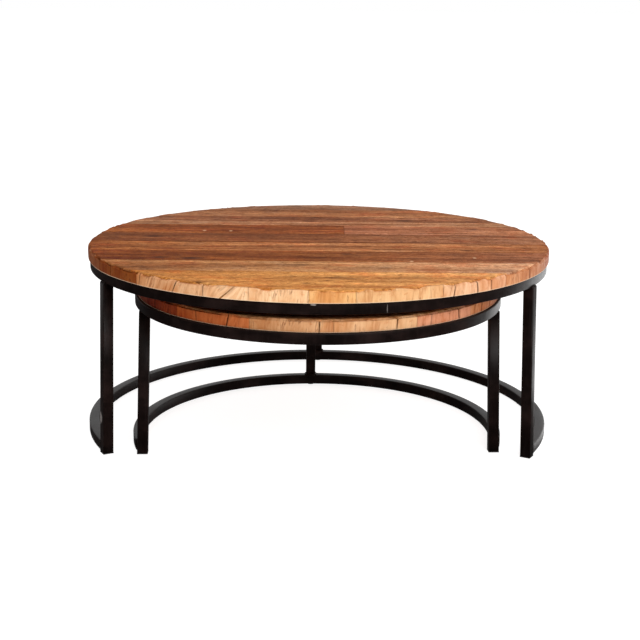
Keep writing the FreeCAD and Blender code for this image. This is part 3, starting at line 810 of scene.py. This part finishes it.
def bend_base(table):
    """The base arc, from the back face of one front leg round to the other."""
    node = f"{table}_base_arc"
    low, high = own_box(table, node)
    radius = reach(table, node) - TUBE / 2
    ends = []
    for side in ("left", "right"):
        foot, _, _, backward = leg_line(table, f"{table}_front_leg_{side}")
        ends.append((foot + backward * (TUBE / 2 + 0.0001), backward))
    bm = bmesh.new()
    middle = Vector((0, radius, (low.z + high.z) / 2))
    for way, (place, backward) in zip((1, -1), ends):
        half = bmesh.new()
        tube_section(half, middle, Vector((0, 1, 0)), Vector((0, 0, 1)))
        bmesh.ops.delete(half, geom=half.faces[:], context="FACES_ONLY")
        bmesh.ops.spin(
            half, geom=half.verts[:] + half.edges[:], cent=(0, 0, 0), axis=(0, 0, 1),
            dvec=(0, 0, 0), angle=way * math.radians(135), steps=81, use_merge=False,
            use_normal_flip=False, use_duplicate=False,
        )
        bmesh.ops.bisect_plane(
            half, geom=half.verts[:] + half.edges[:] + half.faces[:], plane_co=place,
            plane_no=-backward, clear_outer=True,
        )
        part = bpy.data.meshes.new("half")
        half.to_mesh(part)
        half.free()
        bm.from_mesh(part)
        bpy.data.meshes.remove(part)
    bmesh.ops.remove_doubles(bm, verts=bm.verts[:], dist=HAIR)
    bmesh.ops.holes_fill(bm, edges=bm.edges[:])
    name = f"{table}_base"
    steel = lacquered_steel(name, len(bpy.data.materials))
    return keep(bm, name, table, steel, "black_lacquer", node, smooth=True)


for table in TABLE_PLACE:
    roll_ring(table)
    bend_base(table)

# ---------------------------------------------------------------- frames: legs
# Straight lengths of the same tube. The front legs run from the floor caps to the ring,
# the rear leg stands on the base arc, and all three lean out a little towards the foot.


def cut_leg(table, part):
    """One leg between its foot and its head, mitred level at both ends."""
    node = f"{table}_{part}"
    foot, head, outward, _ = leg_line(table, node)
    bm = bmesh.new()
    section = tube_section(bm, foot, outward, Vector((-outward.y, outward.x, 0)))
    top = bmesh.ops.extrude_face_region(bm, geom=section)["geom"]
    raised = [v for v in top if isinstance(v, bmesh.types.BMVert)]
    bmesh.ops.translate(bm, verts=raised, vec=head - foot)
    name = f"{table}_{part.replace('_leg', '')}_leg_tube"
    steel = lacquered_steel(name, len(bpy.data.materials))
    piece = keep(bm, name, table, steel, "black_lacquer", node)
    for face in piece.data.polygons:
        face.use_smooth = abs(face.normal.z) < 0.5
    return piece


for table in TABLE_PLACE:
    for part in ("front_leg_left", "front_leg_right", "rear_leg"):
        cut_leg(table, part)

# ---------------------------------------------------------------- frames: welds
# Short hand-laid beads where a leg meets the ring or the base, lacquered over with the frame.
RIPPLE = 0.0019
BEAD = 0.0017


def weld_line(bm, start, end, out, heavy=1.0):
    """A bead from start to end: overlapping ripples that bulge towards out."""
    along = end - start
    count = max(2, round(along.length / RIPPLE))
    across = along.normalized().cross(out).normalized()
    basis = Matrix((along.normalized(), across, out)).transposed().to_4x4()
    for i in range(count + 1):
        size = BEAD * heavy * chance.uniform(0.85, 1.15)
        shape = Matrix.Diagonal((size * 0.8, size * 1.2, size, 1))
        middle = start + along * (i / count)
        bmesh.ops.create_uvsphere(
            bm, u_segments=8, v_segments=5, radius=1,
            matrix=Matrix.Translation(middle) @ basis @ shape,
        )


def weld_round(bm, middle, outward, level, sides, heavy):
    """Beads round a leg's outline on a level face, on the sides named by their directions."""
    half = TUBE / 2
    sideways = Vector((-outward.y, outward.x, 0))
    ways = {"out": outward, "in": -outward, "left": sideways, "right": -sideways}
    for side in sides:
        way = ways[side]
        along = Vector((-way.y, way.x, 0))
        reach_out = middle + way * half
        stop = half - 0.0014 - 0.0012 * heavy
        weld_line(
            bm, reach_out - along * stop, reach_out + along * stop,
            (way + Vector((0, 0, level))).normalized(), heavy,
        )


for table in TABLE_PLACE:
    bm = bmesh.new()
    for part in ("front_leg_left", "front_leg_right", "rear_leg"):
        foot, head, outward, backward = leg_line(table, f"{table}_{part}")
        weld_round(bm, head, outward, -1, ("in", "left", "right"), 1.0)
        if table == "outer" and part != "rear_leg":
            weld_round(bm, head - outward * 0.0030, outward, 0.5, ("out",), 1.4)
        if part == "rear_leg":
            weld_round(bm, foot, outward, 1, ("in", "left", "right"), 1.8)
            continue
        joint = foot + backward * (TUBE / 2)
        half = TUBE / 2 - 0.002
        upper = joint + Vector((0, 0, TUBE))
        weld_line(
            bm, upper - outward * half, upper + outward * half,
            (backward + Vector((0, 0, 1))).normalized(),
        )
        for side in (-1, 1):
            edge = joint + outward * (side * (TUBE / 2 - 0.0012))
            weld_line(
                bm, edge + Vector((0, 0, 0.002)), edge + Vector((0, 0, TUBE - 0.001)),
                (backward + outward * side).normalized(), 0.7,
            )
    name = f"{table}_weld_beads"
    keep(bm, name, table, lacquered_steel(name, 40), "black_lacquer", smooth=True)

# ---------------------------------------------------------------- small parts
# Black plastic caps in the feet, thin pads under the base, and zinc-plated wood screws.
# The tabs they go through are offcuts of flat bar, welded inside the ring and lacquered with it.


def moulded_plastic(name):
    """Black moulded plastic, flecked with grey scuffs all over."""
    plastic = Shading(name)
    local = plastic.add("ShaderNodeTexCoord").outputs["Object"]
    grit = plastic.noise(plastic.place(local, (420, 420, 420)), 4, 0.6)
    tones = [(0.3, linear(34, 33, 33)), (0.62, linear(58, 55, 54)), (0.8, linear(98, 93, 90))]
    colour = plastic.ramp(grit, tones)
    plastic.wire(colour, plastic.surface.inputs["Base Color"])
    plastic.wire(plastic.spread(grit, 0.3, 0.8, 0.5, 0.75), plastic.surface.inputs["Roughness"])
    plastic.wire(plastic.bump(grit, 0.3, 0.0003), plastic.surface.inputs["Normal"])
    return plastic.material


def plated_steel(name):
    """Zinc-plated steel, with the cloudy grain of the plating."""
    zinc = Shading(name)
    local = zinc.add("ShaderNodeTexCoord").outputs["Object"]
    bloom = zinc.noise(zinc.place(local, (600, 600, 600)), 4, 0.6)
    colour = zinc.ramp(bloom, [(0.3, linear(150, 150, 146)), (0.7, linear(196, 194, 186))])
    zinc.wire(colour, zinc.surface.inputs["Base Color"])
    zinc.surface.inputs["Metallic"].default_value = 1
    zinc.wire(zinc.spread(bloom, 0.3, 0.8, 0.24, 0.45), zinc.surface.inputs["Roughness"])
    zinc.wire(zinc.bump(bloom, 0.2, 0.0002), zinc.surface.inputs["Normal"])
    return zinc.material


def dress(node, material):
    """Gives a carried-over CAD node its finish."""
    piece = frame["nodes"][node]
    if not piece.material_slots:
        piece.data.materials.append(material)
    for own_slot in piece.material_slots:
        own_slot.material = material


plastic = moulded_plastic("cap_plastic")
for table in TABLE_PLACE:
    for node in (f"{table}_leg_cap_left", f"{table}_leg_cap_right", f"{table}_base_pads"):
        dress(node, plastic)
    dress(f"{table}_fixing_tabs", lacquered_steel(f"{table}_tab_lacquer", 60))
    dress(f"{table}_top_screws", plated_steel(f"{table}_screw_plating"))

# ---------------------------------------------------------------- floor and light
# A plain white floor that glows, as a lit studio sweep does, in a room with a pale back wall
# and ceiling. One softbox stands in front on the right and a weaker one hangs overhead.


def set_piece(bm, name, colour, glow_strength):
    """A plain glowing surface of the set, which is no part of the tables."""
    mesh = bpy.data.meshes.new(name)
    bm.to_mesh(mesh)
    bm.free()
    piece = bpy.data.objects.new(name, mesh)
    bpy.context.scene.collection.objects.link(piece)
    paint = Shading(f"{name}_paint")
    inputs = paint.surface.inputs
    inputs["Base Color"].default_value = (colour, colour, colour, 1)
    inputs["Emission Color"].default_value = (1, 1, 1, 1)
    inputs["Emission Strength"].default_value = glow_strength
    inputs["Roughness"].default_value = 0.9
    inputs["Specular IOR Level"].default_value = 0
    mesh.materials.append(paint.material)
    return piece


sweep = bmesh.new()
bmesh.ops.create_circle(sweep, cap_ends=True, radius=60, segments=96)
floor = set_piece(sweep, "floor", 0.36, 0.88)
floor.visible_glossy = False

room = bpy.data.worlds.new("studio")
room.use_nodes = True
bpy.context.scene.world = room
air = room.node_tree
backdrop = air.nodes["Background"]
backdrop.inputs["Color"].default_value = (1, 1, 1, 1)
view_way = air.nodes.new("ShaderNodeTexCoord")
way_parts = air.nodes.new("ShaderNodeSeparateXYZ")
air.links.new(view_way.outputs["Generated"], way_parts.inputs[0])


def glow(part, dark_at, bright_at, dark, bright):
    """The room's brightness along one of its directions."""
    node = air.nodes.new("ShaderNodeMapRange")
    air.links.new(way_parts.outputs[part], node.inputs[0])
    for socket, number in zip(node.inputs[1:5], (dark_at, bright_at, dark, bright)):
        socket.default_value = number
    return node.outputs[0]


def join(kind, first, second):
    """Arithmetic on two of the room's values."""
    node = air.nodes.new("ShaderNodeMath")
    node.operation = kind
    air.links.new(first, node.inputs[0])
    air.links.new(second, node.inputs[1])
    return node.outputs[0]


back_wall = join("MULTIPLY", glow("Y", -0.35, 0.30, 0.14, 1.05), glow("Z", -0.14, 0.08, 0.10, 1.0))
back_wall = join("MULTIPLY", back_wall, glow("X", -0.85, -0.40, 0.15, 1.0))
overhead = glow("Z", 0.15, 0.70, 0.0, 0.66)
to_camera = air.nodes.new("ShaderNodeLightPath").outputs["Is Camera Ray"]
brightness = join("MAXIMUM", join("MAXIMUM", back_wall, overhead), to_camera)
air.links.new(brightness, backdrop.inputs["Strength"])


def soft_light(name, place, target, size, power):
    """A square softbox that points at a target."""
    lamp = bpy.data.lights.new(name, "AREA")
    lamp.size = size
    lamp.energy = power
    light = bpy.data.objects.new(name, lamp)
    light.location = place
    aim = Vector(target) - Vector(place)
    light.rotation_euler = aim.to_track_quat("-Z", "Y").to_euler()
    bpy.context.scene.collection.objects.link(light)


# A white card stands close on the right, out of shot, and puts a pale sheen on the metal there.
card_shape = bmesh.new()
card_corners = [(1.25, 0.25, -0.30), (0.70, 0.85, -0.30), (0.70, 0.85, 0.35), (1.25, 0.25, 0.35)]
card_shape.faces.new([card_shape.verts.new(corner) for corner in card_corners])
card = set_piece(card_shape, "white_card", 0.8, 2.4)
card.visible_camera = False
card.visible_diffuse = False
card.visible_shadow = False

soft_light("front_softbox", (1.2, -2.8, 2.0), (0, 0, 0.25), 1.6, 60)
soft_light("overhead_softbox", (0.2, 0.4, 3.0), (0, 0, 0), 2.4, 16)
bpy.context.scene.view_settings.view_transform = "Standard"
